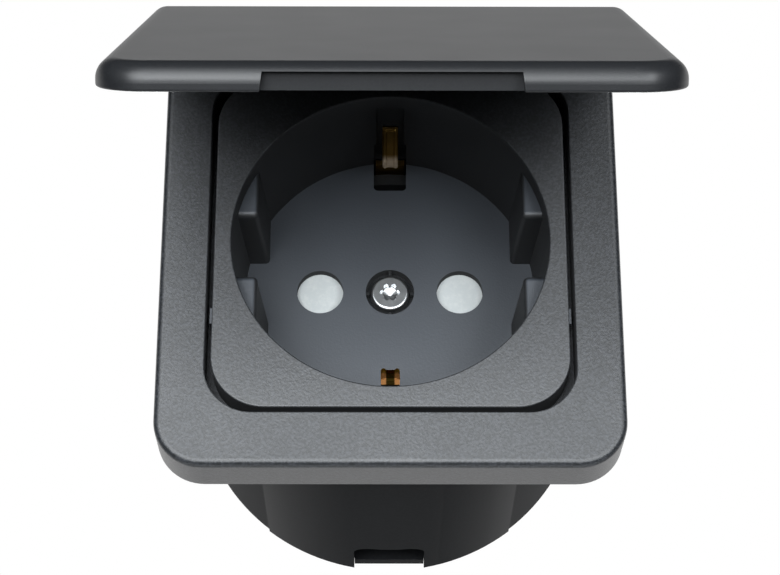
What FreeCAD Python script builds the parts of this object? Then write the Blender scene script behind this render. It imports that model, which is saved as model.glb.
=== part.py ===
import FreeCAD, Part
import math
import os

from FreeCAD import Vector

# Flush wall socket with a hinged lid, two round pins and side earth clips.
# Millimetres and degrees. X runs to the right, Z up, and the face looks towards -Y.
# The wall plane is y = 0, and the plug's axis is x = z = 0.

# Frame plate
frame_width = 59.2
frame_height = 62.6
frame_depth = 7.1
frame_corner_r = 6.2
frame_edge_r = 0.9
frame_web = 2.0
opening_width = 47.0
opening_height = 48.4
opening_corner_r = 6.2
opening_edge_r = 0.15

# Hinge and lid, drawn closed and then turned to the open rest pose
hinge_setback = 3.05
hinge_drop = 2.45
hinge_pin_r = 0.9
hinge_pin_bite = 2.6
hinge_running_gap = 0.05
ear_offset = 18.0
ear_width = 6.0
ear_r = 1.9
ear_gap = 0.3
lid_overhang = 3.1
lid_tail = 3.9
lid_reach = 63.0
lid_overlap = 0.35
lid_height = 3.2
lid_skin = 1.5
lid_wall = 1.2
lid_edge_r = 2.3
lid_rim_r = 0.3
lid_corner_r = 6.0
lid_tail_corner_r = 1.5
grip_width = 28.8
grip_depth = 1.7
grip_wall = 1.0
grip_height = 2.2
grip_slant = 0.3
lid_open_angle = 53.8

# Socket insert with its drafted well
insert_gap = 0.77
insert_setback = 0.35
insert_corner_r = 6.9
insert_edge_r = 0.2
insert_skin = 2.0
insert_skirt = 1.5
well_rim_r = 20.6
well_floor_r = 19.6
well_depth = 17.6
well_wall = 1.6
well_floor = 1.3
well_tube_gap = 0.4
rib_setback = 2.7
rib_rise = 3.3
rib_notch = 8.4
rib_edge_r = 0.8
rib_corner_r = 0.6
catch_length = 2.1
catch_drop = 10.7
catch_depth = 2.6
catch_setback = 0.9
catch_gap = 0.45

# Pin holes, hub and centre screw
pin_spacing = 19.0
pin_hole_r = 3.15
hub_r = 4.2
hub_length = 2.5
counterbore_r = 3.3
counterbore_depth = 1.6
seat_rib_width = 0.4
seat_rib_gap = 0.2
seat_rib_drop = 0.5
centre_head_r = 2.6
centre_head_height = 1.45
centre_head_round = 0.45
centre_shank_r = 1.5
centre_shank_length = 13.0
centre_hole_gap = 0.15
lobe_ring_r = 1.0
lobe_r = 0.38
lobe_depth = 0.6
lobe_cone_depth = 0.5

# Earth strap with its two bowed clips
slot_width = 3.8
slot_step = 0.35
slot_step_length = 5.3
slot_corner_r = 0.6
slot_setback = 2.8
slot_inner = 15.4
slot_back_wall = 1.2
strap_thickness = 0.7
strap_width = 4.0
strap_gap = 0.3
strap_bend_r = 0.6
clip_width = 2.05
lower_clip_width = 2.4
clip_bend_r = 1.2
clip_bow_inner = 14.7
lower_clip_bow_inner = 15.2
clip_bow_setback = 8.5
clip_bow_length = 1.0
clip_tip_setback = 4.3
clip_tip_outer = 18.4

# Contact base, shutter and its spring
base_r = 18.6
base_wall = 1.6
pocket_width = 6.0
pocket_height = 9.6
pocket_floor = 1.5
shutter_thickness = 1.4
shutter_front_gap = 0.1
shutter_running_gap = 0.05
shutter_ring = 1.5
shutter_wing_r = 14.2
shutter_wing_half_angle = 25.0
shutter_bevel = 0.4
shutter_travel = 46.0
stop_ring_r = 12.5
stop_peg_r = 1.0
stop_gap = 0.3
spring_wire = 0.32
spring_turns = 2.5
spring_pitch = 0.5
spring_hub_gap = 0.35
spring_recess_depth = 1.2

# Pin contacts and terminals
contact_width = 5.0
contact_thickness = 0.7
contact_pinch = 2.2
contact_spread = 3.3
contact_lead_in = 0.9
contact_pinch_setback = 4.0
contact_bend_r = 2.0
tail_width = 3.0
tail_length = 3.0
tail_gap = 0.1
terminal_width = 7.0
terminal_height = 7.6
terminal_depth = 9.2
wire_hole_r = 1.7
terminal_screw_r = 1.5
terminal_screw_length = 3.6
terminal_screw_slot = 0.6
terminal_screw_slot_depth = 0.8
terminal_wall = 1.0
terminal_rear_gap = 2.05
earth_terminal_drop = 9.0

# Rear cup and its cover
cup_r = 28.7
cup_wall = 1.8
cup_depth = 46.3
cup_groove_width = 0.3
cup_groove_inset = 1.0
cup_groove_depth = 0.6
flute_start = 37.6
flute_angle = 24.0
flute_depth = 0.25
flute_front = 3.0
notch_width = 10.1
notch_length = 10.1
notch_corner_r = 2.8
boss_ring_gap = 3.0
boss_r = 2.4
boss_length = 10.0
cover_thickness = 2.0
cover_lip = 1.35
cover_gap = 0.1
tongue_gap = 0.05
tongue_inset = 1.05
cover_boss_inset = 4.0
cover_boss_length = 9.0
screw_head_r = 2.1
screw_head_height = 1.5
screw_shank_r = 1.1
screw_length = 9.0
screw_hole_gap = 0.2
screw_slot = 0.5
screw_slot_depth = 0.7

# Derived places along Y
face_y = -frame_depth
insert_y = face_y + insert_setback
floor_y = insert_y + well_depth
floor_back_y = floor_y + well_floor
base_front_y = floor_back_y + hub_length
cover_y = cup_depth - cover_thickness
base_rear_y = cover_y - terminal_rear_gap - terminal_depth - strap_thickness
lid_rim_y = face_y + lid_overlap
lid_face_y = lid_rim_y - lid_height

# Other derived sizes
half_frame = frame_height / 2
insert_width = opening_width - 2 * insert_gap
insert_height = opening_height - 2 * insert_gap
insert_flange = -frame_web - insert_y
tube_r = well_rim_r + well_wall
boss_ring_r = tube_r + boss_ring_gap
hinge_y = face_y + hinge_setback
hinge_z = half_frame - hinge_drop
pin_x = pin_spacing / 2
cup_inner_r = cup_r - cup_wall
cover_seat_r = cup_r - cover_lip
cover_boss_x = cup_r - cover_boss_inset
shutter_bore_r = hub_r + shutter_running_gap
spring_r = hub_r + spring_hub_gap + spring_wire / 2
hinge_axis = Vector(0, hinge_y, hinge_z)
SIDES = {"left": -1, "right": 1}
OVER = 1.0


def rod(x, z, radius, y_start, y_end):
    """A cylinder along Y."""
    return Part.makeCylinder(radius, y_end - y_start, Vector(x, y_start, z), Vector(0, 1, 0))


def block(x_range, y_range, z_range):
    """A box from its three ranges."""
    low = Vector(x_range[0], y_range[0], z_range[0])
    high = Vector(x_range[1], y_range[1], z_range[1])
    size = high - low
    return Part.makeBox(size.x, size.y, size.z, low)


def rounded(corners, radii):
    """A closed wire through flat corners, each rounded by its own radius, or left sharp by none."""
    spans = []
    for i, (corner, radius) in enumerate(zip(corners, radii)):
        back = (corners[i - 1] - corner).normalize()
        ahead = (corners[(i + 1) % len(corners)] - corner).normalize()
        if not radius:
            spans.append((corner, corner, []))
            continue
        half = back.getAngle(ahead) / 2
        middle = (back + ahead).normalize()
        start, end = (corner + way * (radius / math.tan(half)) for way in (back, ahead))
        crown = corner + middle * (radius / math.sin(half) - radius)
        spans.append((start, end, [Part.Arc(start, crown, end).toShape()]))
    edges = []
    for (_, end, arc), (start, _, _) in zip(spans, spans[1:] + spans[:1]):
        edges += arc
        if end.distanceToPoint(start) > 1e-7:
            edges.append(Part.makeLine(end, start))
    return Part.Wire(edges)


def rounded_wire(half_width, z_low, z_high, r_low, r_high, y):
    """A rectangle in the XZ plane with rounded lower and upper corners."""
    places = ((-half_width, z_low), (half_width, z_low), (half_width, z_high), (-half_width, z_high))
    return rounded([Vector(x, y, z) for x, z in places], (r_low, r_low, r_high, r_high))


def slab(half_width, half_height, radius, y_start, y_end):
    """A rounded rectangle extruded along Y."""
    wire = rounded_wire(half_width, -half_height, half_height, radius, radius, y_start)
    return Part.Face(wire).extrude(Vector(0, y_end - y_start, 0))


def turned(profile):
    """A solid of revolution about Y from (radius, y) points."""
    points = [Vector(radius, y, 0) for radius, y in profile]
    face = Part.Face(Part.makePolygon(points + points[:1]))
    return face.revolve(Vector(), Vector(0, 1, 0), 360)


def strip(path, thickness, x_start, x_end):
    """Sheet metal of one thickness along a (y, z, bend radius) centre line."""
    steps = [Vector(0, b[0] - a[0], b[1] - a[1]).normalize() for a, b in zip(path, path[1:])]
    normals = [Vector(0, -step.z, step.y) for step in steps]
    one_side, other_side = [], []
    for (y, z, bend), before, after in zip(path, normals[:1] + normals, normals + normals[-1:]):
        offset = (before + after) * (thickness / 2 / (1 + before.dot(after)))
        turn = math.copysign(thickness / 2, before.cross(after).x)
        point = Vector(x_start, y, z)
        one_side.append((point + offset, bend and bend - turn))
        other_side.append((point - offset, bend and bend + turn))
    corners, radii = zip(*(one_side + other_side[::-1]))
    return Part.Face(rounded(corners, radii)).extrude(Vector(x_end - x_start, 0, 0))


def edges_on(shape, y, reach):
    """The edges of a shape that lie in the plane y and within reach of its axis."""
    found = []
    for edge in shape.Edges:
        box = edge.BoundBox
        flat = abs(box.YMin - y) < 1e-6 and abs(box.YMax - y) < 1e-6
        if flat and max(abs(box.XMin), abs(box.XMax)) < reach + 1e-6:
            found.append(edge)
    return found


def four_ways(shape):
    """A shape with its mirror images in the planes x = 0 and z = 0."""
    pair = [shape, shape.mirror(Vector(), Vector(1, 0, 0))]
    return pair + [one.mirror(Vector(), Vector(0, 0, 1)) for one in pair]


def corner_places(ring_radius):
    """Four places on the diagonals of the plug's axis."""
    reach = ring_radius * math.sqrt(0.5)
    return [(x * reach, z * reach) for x in (-1, 1) for z in (-1, 1)]


def ear_centre(side):
    """Where the middle of a hinge ear stands along X."""
    return side * ear_offset


def make_frame():
    """The plate: rounded face edge, stepped opening, hinge slots and a grooved seat for the cup."""
    half_width = frame_width / 2
    body = slab(half_width, half_frame, frame_corner_r, face_y, 0)
    body = body.makeFillet(frame_edge_r, edges_on(body, face_y, half_width))
    opening_half = opening_width / 2
    body = body.cut(slab(opening_half, opening_height / 2, opening_corner_r, face_y - OVER, -frame_web))
    body = body.makeFillet(opening_edge_r, edges_on(body, face_y, opening_half))
    body = body.cut(rod(0, 0, tube_r + well_tube_gap, -frame_web - OVER, OVER))
    groove = rod(0, 0, cup_r + cup_groove_width, -cup_groove_depth, OVER)
    body = body.cut(groove.cut(rod(0, 0, cup_r - cup_groove_inset, -frame_web, 2 * OVER)))
    for x, z in corner_places(boss_ring_r):
        body = body.cut(rod(x, z, screw_shank_r + screw_hole_gap, -frame_web - OVER, OVER))
    room = ear_width / 2 + ear_gap
    reach = ear_r + ear_gap
    for side in SIDES.values():
        middle = ear_centre(side)
        slot = block(
            (middle - room, middle + room),
            (face_y - OVER, hinge_y + reach),
            (hinge_z - reach, half_frame + OVER),
        )
        body = body.cut(slot).cut(make_hinge_pin(side))
    return body


def make_hinge_pin(side):
    """A plain steel pin through one ear, pressed into the frame at both ends."""
    half_length = ear_width / 2 + ear_gap + hinge_pin_bite
    start = Vector(ear_centre(side) - half_length, hinge_y, hinge_z)
    return Part.makeCylinder(hinge_pin_r, 2 * half_length, start, Vector(1, 0, 0))


def lid_edge(place):
    """A face across the lid's rounded edge. place turns a distance from the corner and a y to a point."""
    def arc(u, y, radius, angles):
        points = [place(u + radius * math.cos(angle), y - radius * math.sin(angle)) for angle in angles]
        return Part.Arc(*points).toShape(), points[0], points[2]

    upright = math.pi / 2
    crown, crown_start, crown_end = arc(
        lid_corner_r - lid_edge_r, lid_face_y + lid_edge_r, lid_edge_r, (upright, upright / 2, 0)
    )
    rim, rim_start, rim_end = arc(
        lid_corner_r - lid_rim_r, lid_rim_y - lid_rim_r, lid_rim_r, (0, -upright / 2, -upright)
    )
    inside = Part.makePolygon([rim_end, place(0, lid_rim_y), place(0, lid_face_y), crown_start])
    return Part.Face(Part.Wire([crown, Part.makeLine(crown_end, rim_start), rim] + inside.Edges))


def lid_slab(half_width, z_low, z_high):
    """The lid before it is hollowed, with its edge rounded on all sides but the tail."""
    corner_x, corner_z = half_width - lid_corner_r, z_low + lid_corner_r
    slab = block((-corner_x, corner_x), (lid_face_y, lid_rim_y), (corner_z, z_high))
    front = lid_edge(lambda u, y: Vector(-corner_x, y, corner_z - u))
    slab = slab.fuse(front.extrude(Vector(2 * corner_x, 0, 0)))
    for side in SIDES.values():
        flank = lid_edge(lambda u, y: Vector(side * (corner_x + u), y, corner_z))
        axis = Vector(side * corner_x, 0, corner_z)
        slab = slab.fuse(flank.revolve(axis, Vector(0, side, 0), 90))
        slab = slab.fuse(flank.extrude(Vector(0, 0, z_high - corner_z)))
    return slab.removeSplitter()


def make_lid():
    """The moulded lid: a shallow rounded tray with a finger grip and two hinge ears."""
    half_width = frame_width / 2 + lid_overhang
    z_low, z_high = hinge_z - lid_reach, hinge_z + lid_tail
    outline = rounded_wire(half_width, z_low, z_high, lid_corner_r, lid_tail_corner_r, lid_face_y)
    body = lid_slab(half_width, z_low, z_high)
    body = body.common(Part.Face(outline).extrude(Vector(0, lid_height, 0)))
    hollow_y = lid_face_y + lid_skin
    hollow = rounded_wire(
        half_width - lid_wall,
        z_low + lid_wall,
        z_high - lid_wall,
        lid_corner_r - lid_wall,
        lid_tail_corner_r / 2,
        hollow_y,
    )
    body = body.cut(Part.Face(hollow).extrude(Vector(0, lid_height, 0)))
    grip_half = grip_width / 2
    backing = block(
        (-grip_half - grip_wall, grip_half + grip_wall),
        (hollow_y - lid_skin / 5, lid_rim_y),
        (z_low + grip_depth - grip_wall / 5, z_low + grip_depth + grip_wall),
    )
    grip_points = (
        Vector(-grip_half, lid_rim_y, z_low - OVER),
        Vector(grip_half, lid_rim_y, z_low - OVER),
        Vector(grip_half - grip_slant, lid_rim_y - grip_height, z_low - OVER),
        Vector(grip_slant - grip_half, lid_rim_y - grip_height, z_low - OVER),
    )
    grip_face = Part.Face(Part.makePolygon(grip_points + grip_points[:1]))
    body = body.fuse(backing).cut(grip_face.extrude(Vector(0, 0, OVER + grip_depth)))
    for side in SIDES.values():
        start = ear_centre(side) - ear_width / 2
        ear = block(
            (start, start + ear_width),
            (hollow_y - lid_skin / 2, hinge_y),
            (hinge_z - ear_r, hinge_z + ear_r),
        )
        barrel = Part.makeCylinder(ear_r, ear_width, Vector(start, hinge_y, hinge_z), Vector(1, 0, 0))
        body = body.fuse(ear.fuse(barrel))
        bore_r = hinge_pin_r + hinge_running_gap
        bore_start = Vector(start - OVER, hinge_y, hinge_z)
        body = body.cut(Part.makeCylinder(bore_r, ear_width + 2 * OVER, bore_start, Vector(1, 0, 0)))
    body = body.removeSplitter()
    body.rotate(hinge_axis, Vector(-1, 0, 0), lid_open_angle)
    return body


def make_guide_rib():
    """One of the four plug guides on the well's sides, with a rounded front corner."""
    front = insert_y + rib_setback
    start = rib_notch / 2
    back = floor_y + well_floor / 2
    draft = (well_rim_r - well_floor_r) * (back - front) / well_depth
    front_x = well_rim_r - rib_rise
    plan = [
        Vector(front_x, front, 0),
        Vector(tube_r, front, 0),
        Vector(tube_r, back, 0),
        Vector(front_x - draft, back, 0),
    ]
    wedge = Part.Face(Part.makePolygon(plan + plan[:1])).extrude(Vector(0, 0, tube_r))
    profile = ((front, start), (back, start), (back, tube_r), (front, tube_r))
    outline = rounded([Vector(0, y, z) for y, z in profile], (rib_edge_r, 0, 0, 0))
    side = Part.Face(outline).extrude(Vector(tube_r, 0, 0))
    rib = wedge.common(side)
    boxes = [(edge, edge.BoundBox) for edge in rib.Edges]
    corner = [edge for edge, box in boxes if box.ZMax < start + 1e-6 and box.XMax < front_x + 1e-6]
    return rib.makeFillet(rib_corner_r, corner).common(rod(0, 0, tube_r - well_wall / 2, front, back))


def make_insert():
    """The socket face: flange, drafted well, plug guides, pin holes and screw hub."""
    half_width, half_height = insert_width / 2, insert_height / 2
    body = slab(half_width, half_height, insert_corner_r, insert_y, insert_y + insert_flange)
    hollow = slab(
        half_width - insert_skirt,
        half_height - insert_skirt,
        insert_corner_r - insert_skirt,
        insert_y + insert_skin,
        insert_y + insert_flange,
    )
    body = body.cut(hollow).fuse(rod(0, 0, tube_r, insert_y, floor_back_y))
    body = body.cut(turned([(0, insert_y), (well_rim_r, insert_y), (well_floor_r, floor_y), (0, floor_y)]))
    body = body.removeSplitter()
    body = body.makeFillet(insert_edge_r, edges_on(body, insert_y, half_width))
    for rib in four_ways(make_guide_rib()):
        body = body.fuse(rib)
    body = body.fuse(rod(0, 0, hub_r, floor_y + well_floor / 2, base_front_y))
    body = body.cut(rod(0, 0, counterbore_r, floor_y - OVER, floor_y + counterbore_depth))
    body = body.cut(rod(0, 0, centre_shank_r + centre_hole_gap, floor_y, base_front_y + OVER))
    seat_rib = block(
        (centre_head_r + seat_rib_gap, counterbore_r + seat_rib_width),
        (floor_y + seat_rib_drop, floor_y + counterbore_depth),
        (-seat_rib_width / 2, seat_rib_width / 2),
    )
    for quarter in range(4):
        rib = seat_rib.copy()
        rib.rotate(Vector(), Vector(0, 1, 0), 90 * quarter)
        body = body.fuse(rib)
    slot_outer = tube_r - slot_back_wall
    for side in SIDES.values():
        body = body.cut(rod(side * pin_x, 0, pin_hole_r, floor_y - OVER, floor_back_y + OVER))
        slot = block(
            (-slot_width / 2, slot_width / 2),
            (insert_y + slot_setback, floor_y),
            (min(side * slot_inner, side * slot_outer), max(side * slot_inner, side * slot_outer)),
        )
        step_half = slot_width / 2 + slot_step
        step = rounded_wire(step_half, slot_inner, slot_outer, slot_corner_r, 0, floor_y - slot_step_length)
        step = Part.Face(step).extrude(Vector(0, slot_step_length + well_floor + OVER, 0))
        if side < 0:
            step = step.mirror(Vector(), Vector(0, 0, 1))
        body = body.cut(slot).cut(step)
    catch_y = insert_y + catch_setback
    catch = block(
        (half_width - insert_skirt / 2, half_width + insert_gap - catch_gap),
        (catch_y, catch_y + catch_depth),
        (catch_drop - catch_length / 2, catch_drop + catch_length / 2),
    )
    for one in four_ways(catch)[2:]:
        body = body.fuse(one)
    return body.removeSplitter()


def make_centre_screw():
    """The bright six-lobe screw that draws the insert and the contact base together."""
    seat_y = floor_y + counterbore_depth
    top_y = seat_y - centre_head_height
    tip_y = seat_y + centre_shank_length
    screw = turned(
        [
            (0, top_y),
            (centre_head_r, top_y),
            (centre_head_r, seat_y),
            (centre_shank_r, seat_y),
            (centre_shank_r, tip_y - centre_shank_r / 2),
            (centre_shank_r / 2, tip_y),
            (0, tip_y),
        ]
    )
    screw = screw.makeFillet(centre_head_round, edges_on(screw, top_y, centre_head_r))
    drive = rod(0, 0, lobe_ring_r, top_y - OVER, top_y + lobe_depth)
    cone_y = top_y + lobe_depth
    drive = drive.fuse(turned([(0, top_y), (lobe_ring_r, cone_y), (0, cone_y + lobe_cone_depth)]))
    for step in range(6):
        angle = math.radians(60 * step)
        x, z = lobe_ring_r * math.cos(angle), lobe_ring_r * math.sin(angle)
        drive = drive.fuse(rod(x, z, lobe_r, top_y - OVER, top_y + lobe_depth))
    return screw.cut(drive.removeSplitter())


def make_contact_base():
    """The round carrier behind the floor: shutter chamber with stops, and two contact pockets."""
    body = rod(0, 0, base_r, floor_back_y, base_rear_y)
    body = body.cut(rod(0, 0, base_r - base_wall, floor_back_y - OVER, base_front_y))
    recess_r = spring_r + spring_wire / 2 + spring_hub_gap
    recess = rod(0, 0, recess_r, base_front_y - OVER, base_front_y + spring_recess_depth)
    body = body.cut(recess.cut(rod(0, 0, hub_r, base_front_y - OVER, base_rear_y)))
    body = body.cut(rod(0, 0, centre_shank_r, base_front_y - OVER, base_rear_y + OVER))
    peg_angle = shutter_wing_half_angle + math.degrees(math.asin((stop_peg_r + stop_gap) / stop_ring_r))
    for angle in (-peg_angle, shutter_travel + peg_angle):
        peg = rod(stop_ring_r, 0, stop_peg_r, floor_back_y, base_front_y)
        peg.rotate(Vector(), Vector(0, 1, 0), angle)
        body = body.fuse(peg)
    slot_half = contact_thickness / 2 + tail_gap
    for side in SIDES.values():
        x = side * pin_x
        half = pocket_width / 2
        body = body.cut(
            block(
                (x - half, x + half),
                (base_front_y - OVER, base_rear_y - pocket_floor),
                (-pocket_height / 2, pocket_height / 2),
            )
        )
        half = tail_width / 2 + tail_gap
        body = body.cut(
            block((x - half, x + half), (base_front_y, base_rear_y + OVER), (-slot_half, slot_half))
        )
    return body


def make_shutter():
    """The white turning shutter: a ring on the hub with two wings that close the pin holes."""
    front = floor_back_y + shutter_front_gap
    back = front + shutter_thickness
    ring_r = shutter_bore_r + shutter_ring
    wing_profile = [
        Vector(shutter_bore_r, front, 0),
        Vector(shutter_wing_r - shutter_bevel, front, 0),
        Vector(shutter_wing_r, front + shutter_bevel, 0),
        Vector(shutter_wing_r, back, 0),
        Vector(shutter_bore_r, back, 0),
    ]
    wing_face = Part.Face(Part.makePolygon(wing_profile + wing_profile[:1]))
    body = rod(0, 0, ring_r, front, back)
    for start in (-shutter_wing_half_angle, 180 - shutter_wing_half_angle):
        wing = wing_face.revolve(Vector(), Vector(0, 1, 0), 2 * shutter_wing_half_angle)
        wing.rotate(Vector(), Vector(0, 1, 0), start)
        body = body.fuse(wing)
    return body.removeSplitter().cut(rod(0, 0, shutter_bore_r, front - OVER, back + OVER))


def make_shutter_spring():
    """The fine square-wire coil round the hub that turns the shutter back."""
    coil = Part.makeHelix(spring_pitch, spring_pitch * spring_turns, spring_r)
    half = spring_wire / 2
    square = ((-half, -half), (half, -half), (half, half), (-half, half))
    corners = [Vector(spring_r + x, 0, z) for x, z in square]
    wire = Part.Wire(coil).makePipeShell([Part.makePolygon(corners + corners[:1])], True, True)
    wire.rotate(Vector(), Vector(1, 0, 0), -90)
    start = floor_back_y + shutter_front_gap + shutter_thickness + half
    wire.translate(Vector(0, start, 0))
    return wire


def clip_path(bow_inner):
    """The centre line of the strap from one clip's tip to the middle of the base's back, above the axis."""
    side_z = base_r + strap_gap + strap_thickness / 2
    bow_y = insert_y + clip_bow_setback
    bow_z = bow_inner + strap_thickness / 2
    return [
        (insert_y + clip_tip_setback, clip_tip_outer, 0),
        (bow_y - clip_bow_length / 2, bow_z, clip_bend_r),
        (bow_y + clip_bow_length / 2, bow_z, clip_bend_r),
        (floor_y - clip_bow_length, side_z, clip_bend_r),
        (base_rear_y + strap_thickness / 2, side_z, strap_bend_r),
    ]


def make_earth_strap():
    """One brass strip: across the back of the base, along its sides and bowed into the well."""
    upper = clip_path(clip_bow_inner)
    lower = [(y, -z, bend) for y, z, bend in reversed(clip_path(lower_clip_bow_inner))]
    strap = strip(upper + lower, strap_thickness, -strap_width / 2, strap_width / 2)
    for side in SIDES.values():
        for way, width in ((1, clip_width), (-1, lower_clip_width)):
            near, far = side * width / 2, side * strap_width
            trim = block(
                (min(near, far), max(near, far)),
                (insert_y, floor_y - 2 * clip_bow_length),
                (min(0, way * tube_r), max(0, way * tube_r)),
            )
            strap = strap.cut(trim)
    return strap


def make_contact(side):
    """A sprung brass fork that grips one pin, with a tail through the base."""
    x = side * pin_x
    half = contact_thickness / 2
    back_y = base_rear_y - pocket_floor - half
    pinch_y = base_front_y + contact_pinch_setback
    leaf = [
        (base_front_y + contact_lead_in, contact_spread, 0),
        (pinch_y, contact_pinch + half, contact_bend_r),
        (back_y, contact_spread, strap_bend_r),
    ]
    path = leaf + [(y, -z, bend) for y, z, bend in reversed(leaf)]
    fork = strip(path, contact_thickness, x - contact_width / 2, x + contact_width / 2)
    tail = block(
        (x - tail_width / 2, x + tail_width / 2),
        (back_y, base_rear_y + tail_length),
        (-half, half),
    )
    return fork.fuse(tail).removeSplitter()


def make_terminal(x, z, front_y, slotted):
    """A drilled brass terminal block, with a slot for a contact's tail where it has one."""
    body = block(
        (x - terminal_width / 2, x + terminal_width / 2),
        (front_y, front_y + terminal_depth),
        (z - terminal_height / 2, z + terminal_height / 2),
    )
    if slotted:
        half = contact_thickness / 2
        body = body.cut(
            block((x - tail_width / 2, x + tail_width / 2), (front_y, front_y + tail_length), (-half, half))
        )
    hole_y = front_y + tail_length + terminal_wall + wire_hole_r
    start = Vector(x, hole_y, z - terminal_height)
    body = body.cut(Part.makeCylinder(wire_hole_r, 2 * terminal_height, start))
    return body.cut(rod(x, z, terminal_screw_r, hole_y, front_y + terminal_depth + OVER))


def make_terminal_screw(x, z, front_y):
    """A slotted grub screw, reached from behind."""
    end_y = front_y + terminal_depth
    body = rod(x, z, terminal_screw_r, end_y - terminal_screw_length, end_y)
    half = terminal_screw_slot / 2
    slot = block(
        (x - terminal_screw_r, x + terminal_screw_r),
        (end_y - terminal_screw_slot_depth, end_y + OVER),
        (z - half, z + half),
    )
    return body.cut(slot)


def make_cup():
    """The round cup: fluted outside, bossed inside, with a cable notch in its rear edge."""
    body = rod(0, 0, cup_r, 0, cup_depth).cut(rod(0, 0, cup_inner_r, -OVER, cup_depth + OVER))
    body = body.cut(rod(0, 0, cover_seat_r, cover_y, cup_depth + OVER))
    gusset_x = (boss_ring_r - boss_r / 2, cup_r - cup_wall / 2)
    gusset = block(gusset_x, (0, boss_length), (-boss_r / 2, boss_r / 2))
    gusset.rotate(Vector(), Vector(0, 1, 0), 45)
    for one in four_ways(gusset):
        body = body.fuse(one)
    for x, z in corner_places(boss_ring_r):
        body = body.fuse(rod(x, z, boss_r, 0, boss_length))
    for side in SIDES.values():
        body = body.fuse(rod(side * cover_boss_x, 0, boss_r, cover_y - cover_boss_length, cover_y))
    flute_points = [
        Vector(0, flute_front, flute_depth - cup_r),
        Vector(0, cup_depth + OVER, flute_depth - cup_r),
        Vector(0, cup_depth + OVER, -cup_r - OVER),
        Vector(0, flute_front, -cup_r - OVER),
    ]
    flute_face = Part.Face(Part.makePolygon(flute_points + flute_points[:1]))
    flute = flute_face.revolve(Vector(), Vector(0, 1, 0), flute_angle)
    flute.rotate(Vector(), Vector(0, 1, 0), flute_start)
    for one in four_ways(flute):
        body = body.cut(one)
    for x, z in corner_places(boss_ring_r):
        body = body.cut(rod(x, z, screw_shank_r, -OVER, boss_length + OVER))
    for side in SIDES.values():
        hole_start = cover_y - cover_boss_length - OVER
        body = body.cut(rod(side * cover_boss_x, 0, screw_shank_r, hole_start, cover_y + OVER))
    notch_y = cup_depth - notch_length
    turn = rounded_wire(notch_width / 2, 0, 2 * notch_length, notch_corner_r, notch_corner_r, 0)
    notch = Part.Face(turn).extrude(Vector(0, -2 * cup_wall, 0))
    notch.rotate(Vector(), Vector(1, 0, 0), -90)
    notch.translate(Vector(0, notch_y, -cup_r - cup_wall / 2))
    return body.cut(notch).removeSplitter()


def make_cover():
    """The disc that closes the cup from behind, with a flat tongue in the cable notch."""
    body = rod(0, 0, cover_seat_r - cover_gap, cover_y, cup_depth)
    tongue_half = notch_width / 2 - tongue_gap
    body = body.fuse(
        block((-tongue_half, tongue_half), (cover_y, cup_depth), (tongue_inset - cup_r, -cup_inner_r / 2))
    )
    for side in SIDES.values():
        hole_r = screw_shank_r + screw_hole_gap
        body = body.cut(rod(side * cover_boss_x, 0, hole_r, cover_y - OVER, cup_depth + OVER))
    return body


def make_screw(x, z, seat_y, way):
    """A slotted pan-head screw whose shank runs along Y from its seat, forwards or backwards."""
    profile = [
        (0, -screw_head_height),
        (screw_head_r - screw_head_height / 2, -screw_head_height),
        (screw_head_r, -screw_head_height / 2),
        (screw_head_r, 0),
        (screw_shank_r, 0),
        (screw_shank_r, screw_length - screw_shank_r),
        (0, screw_length),
    ]
    slot = block(
        (-screw_head_r, screw_head_r),
        (-screw_head_height - OVER, screw_slot_depth - screw_head_height),
        (-screw_slot / 2, screw_slot / 2),
    )
    screw = turned(profile).cut(slot)
    if way < 0:
        screw.rotate(Vector(), Vector(0, 0, 1), 180)
    screw.translate(Vector(x, seat_y, z))
    return screw


def build_parts():
    """Every piece by its node name, in place."""
    parts = {
        "frame": make_frame(),
        "lid": make_lid(),
        "socket_insert": make_insert(),
        "centre_screw": make_centre_screw(),
        "contact_base": make_contact_base(),
        "shutter": make_shutter(),
        "shutter_spring": make_shutter_spring(),
        "earth_strap": make_earth_strap(),
        "rear_cup": make_cup(),
        "rear_cover": make_cover(),
    }
    for name, side in SIDES.items():
        parts["hinge_pin_" + name] = make_hinge_pin(side)
        parts["cover_screw_" + name] = make_screw(side * cover_boss_x, 0, cup_depth, -1)
    for name, side in {"neutral": -1, "live": 1}.items():
        parts[name + "_contact"] = make_contact(side)
        parts[name + "_terminal"] = make_terminal(side * pin_x, 0, base_rear_y, True)
        parts[name + "_terminal_screw"] = make_terminal_screw(side * pin_x, 0, base_rear_y)
    earth_y = base_rear_y + strap_thickness
    parts["earth_terminal"] = make_terminal(0, -earth_terminal_drop, earth_y, False)
    parts["earth_terminal_screw"] = make_terminal_screw(0, -earth_terminal_drop, earth_y)
    for number, (x, z) in enumerate(corner_places(boss_ring_r), start=1):
        parts["cup_screw_%d" % number] = make_screw(x, z, -frame_web, 1)
    return parts


os.makedirs("parts", exist_ok=True)
for name, shape in build_parts().items():
    shape.exportStep("parts/%s.step" % name)
    print(name, shape.ShapeType, len(shape.Solids), shape.isValid(), round(shape.Volume, 2))
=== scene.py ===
"""Looks of a flush wall socket with a hinged lid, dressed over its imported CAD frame."""

import logging
import math
from dataclasses import dataclass
from enum import Enum
from typing import Any, Mapping, Optional, Sequence

import bpy
from mathutils import Matrix, Vector


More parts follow.
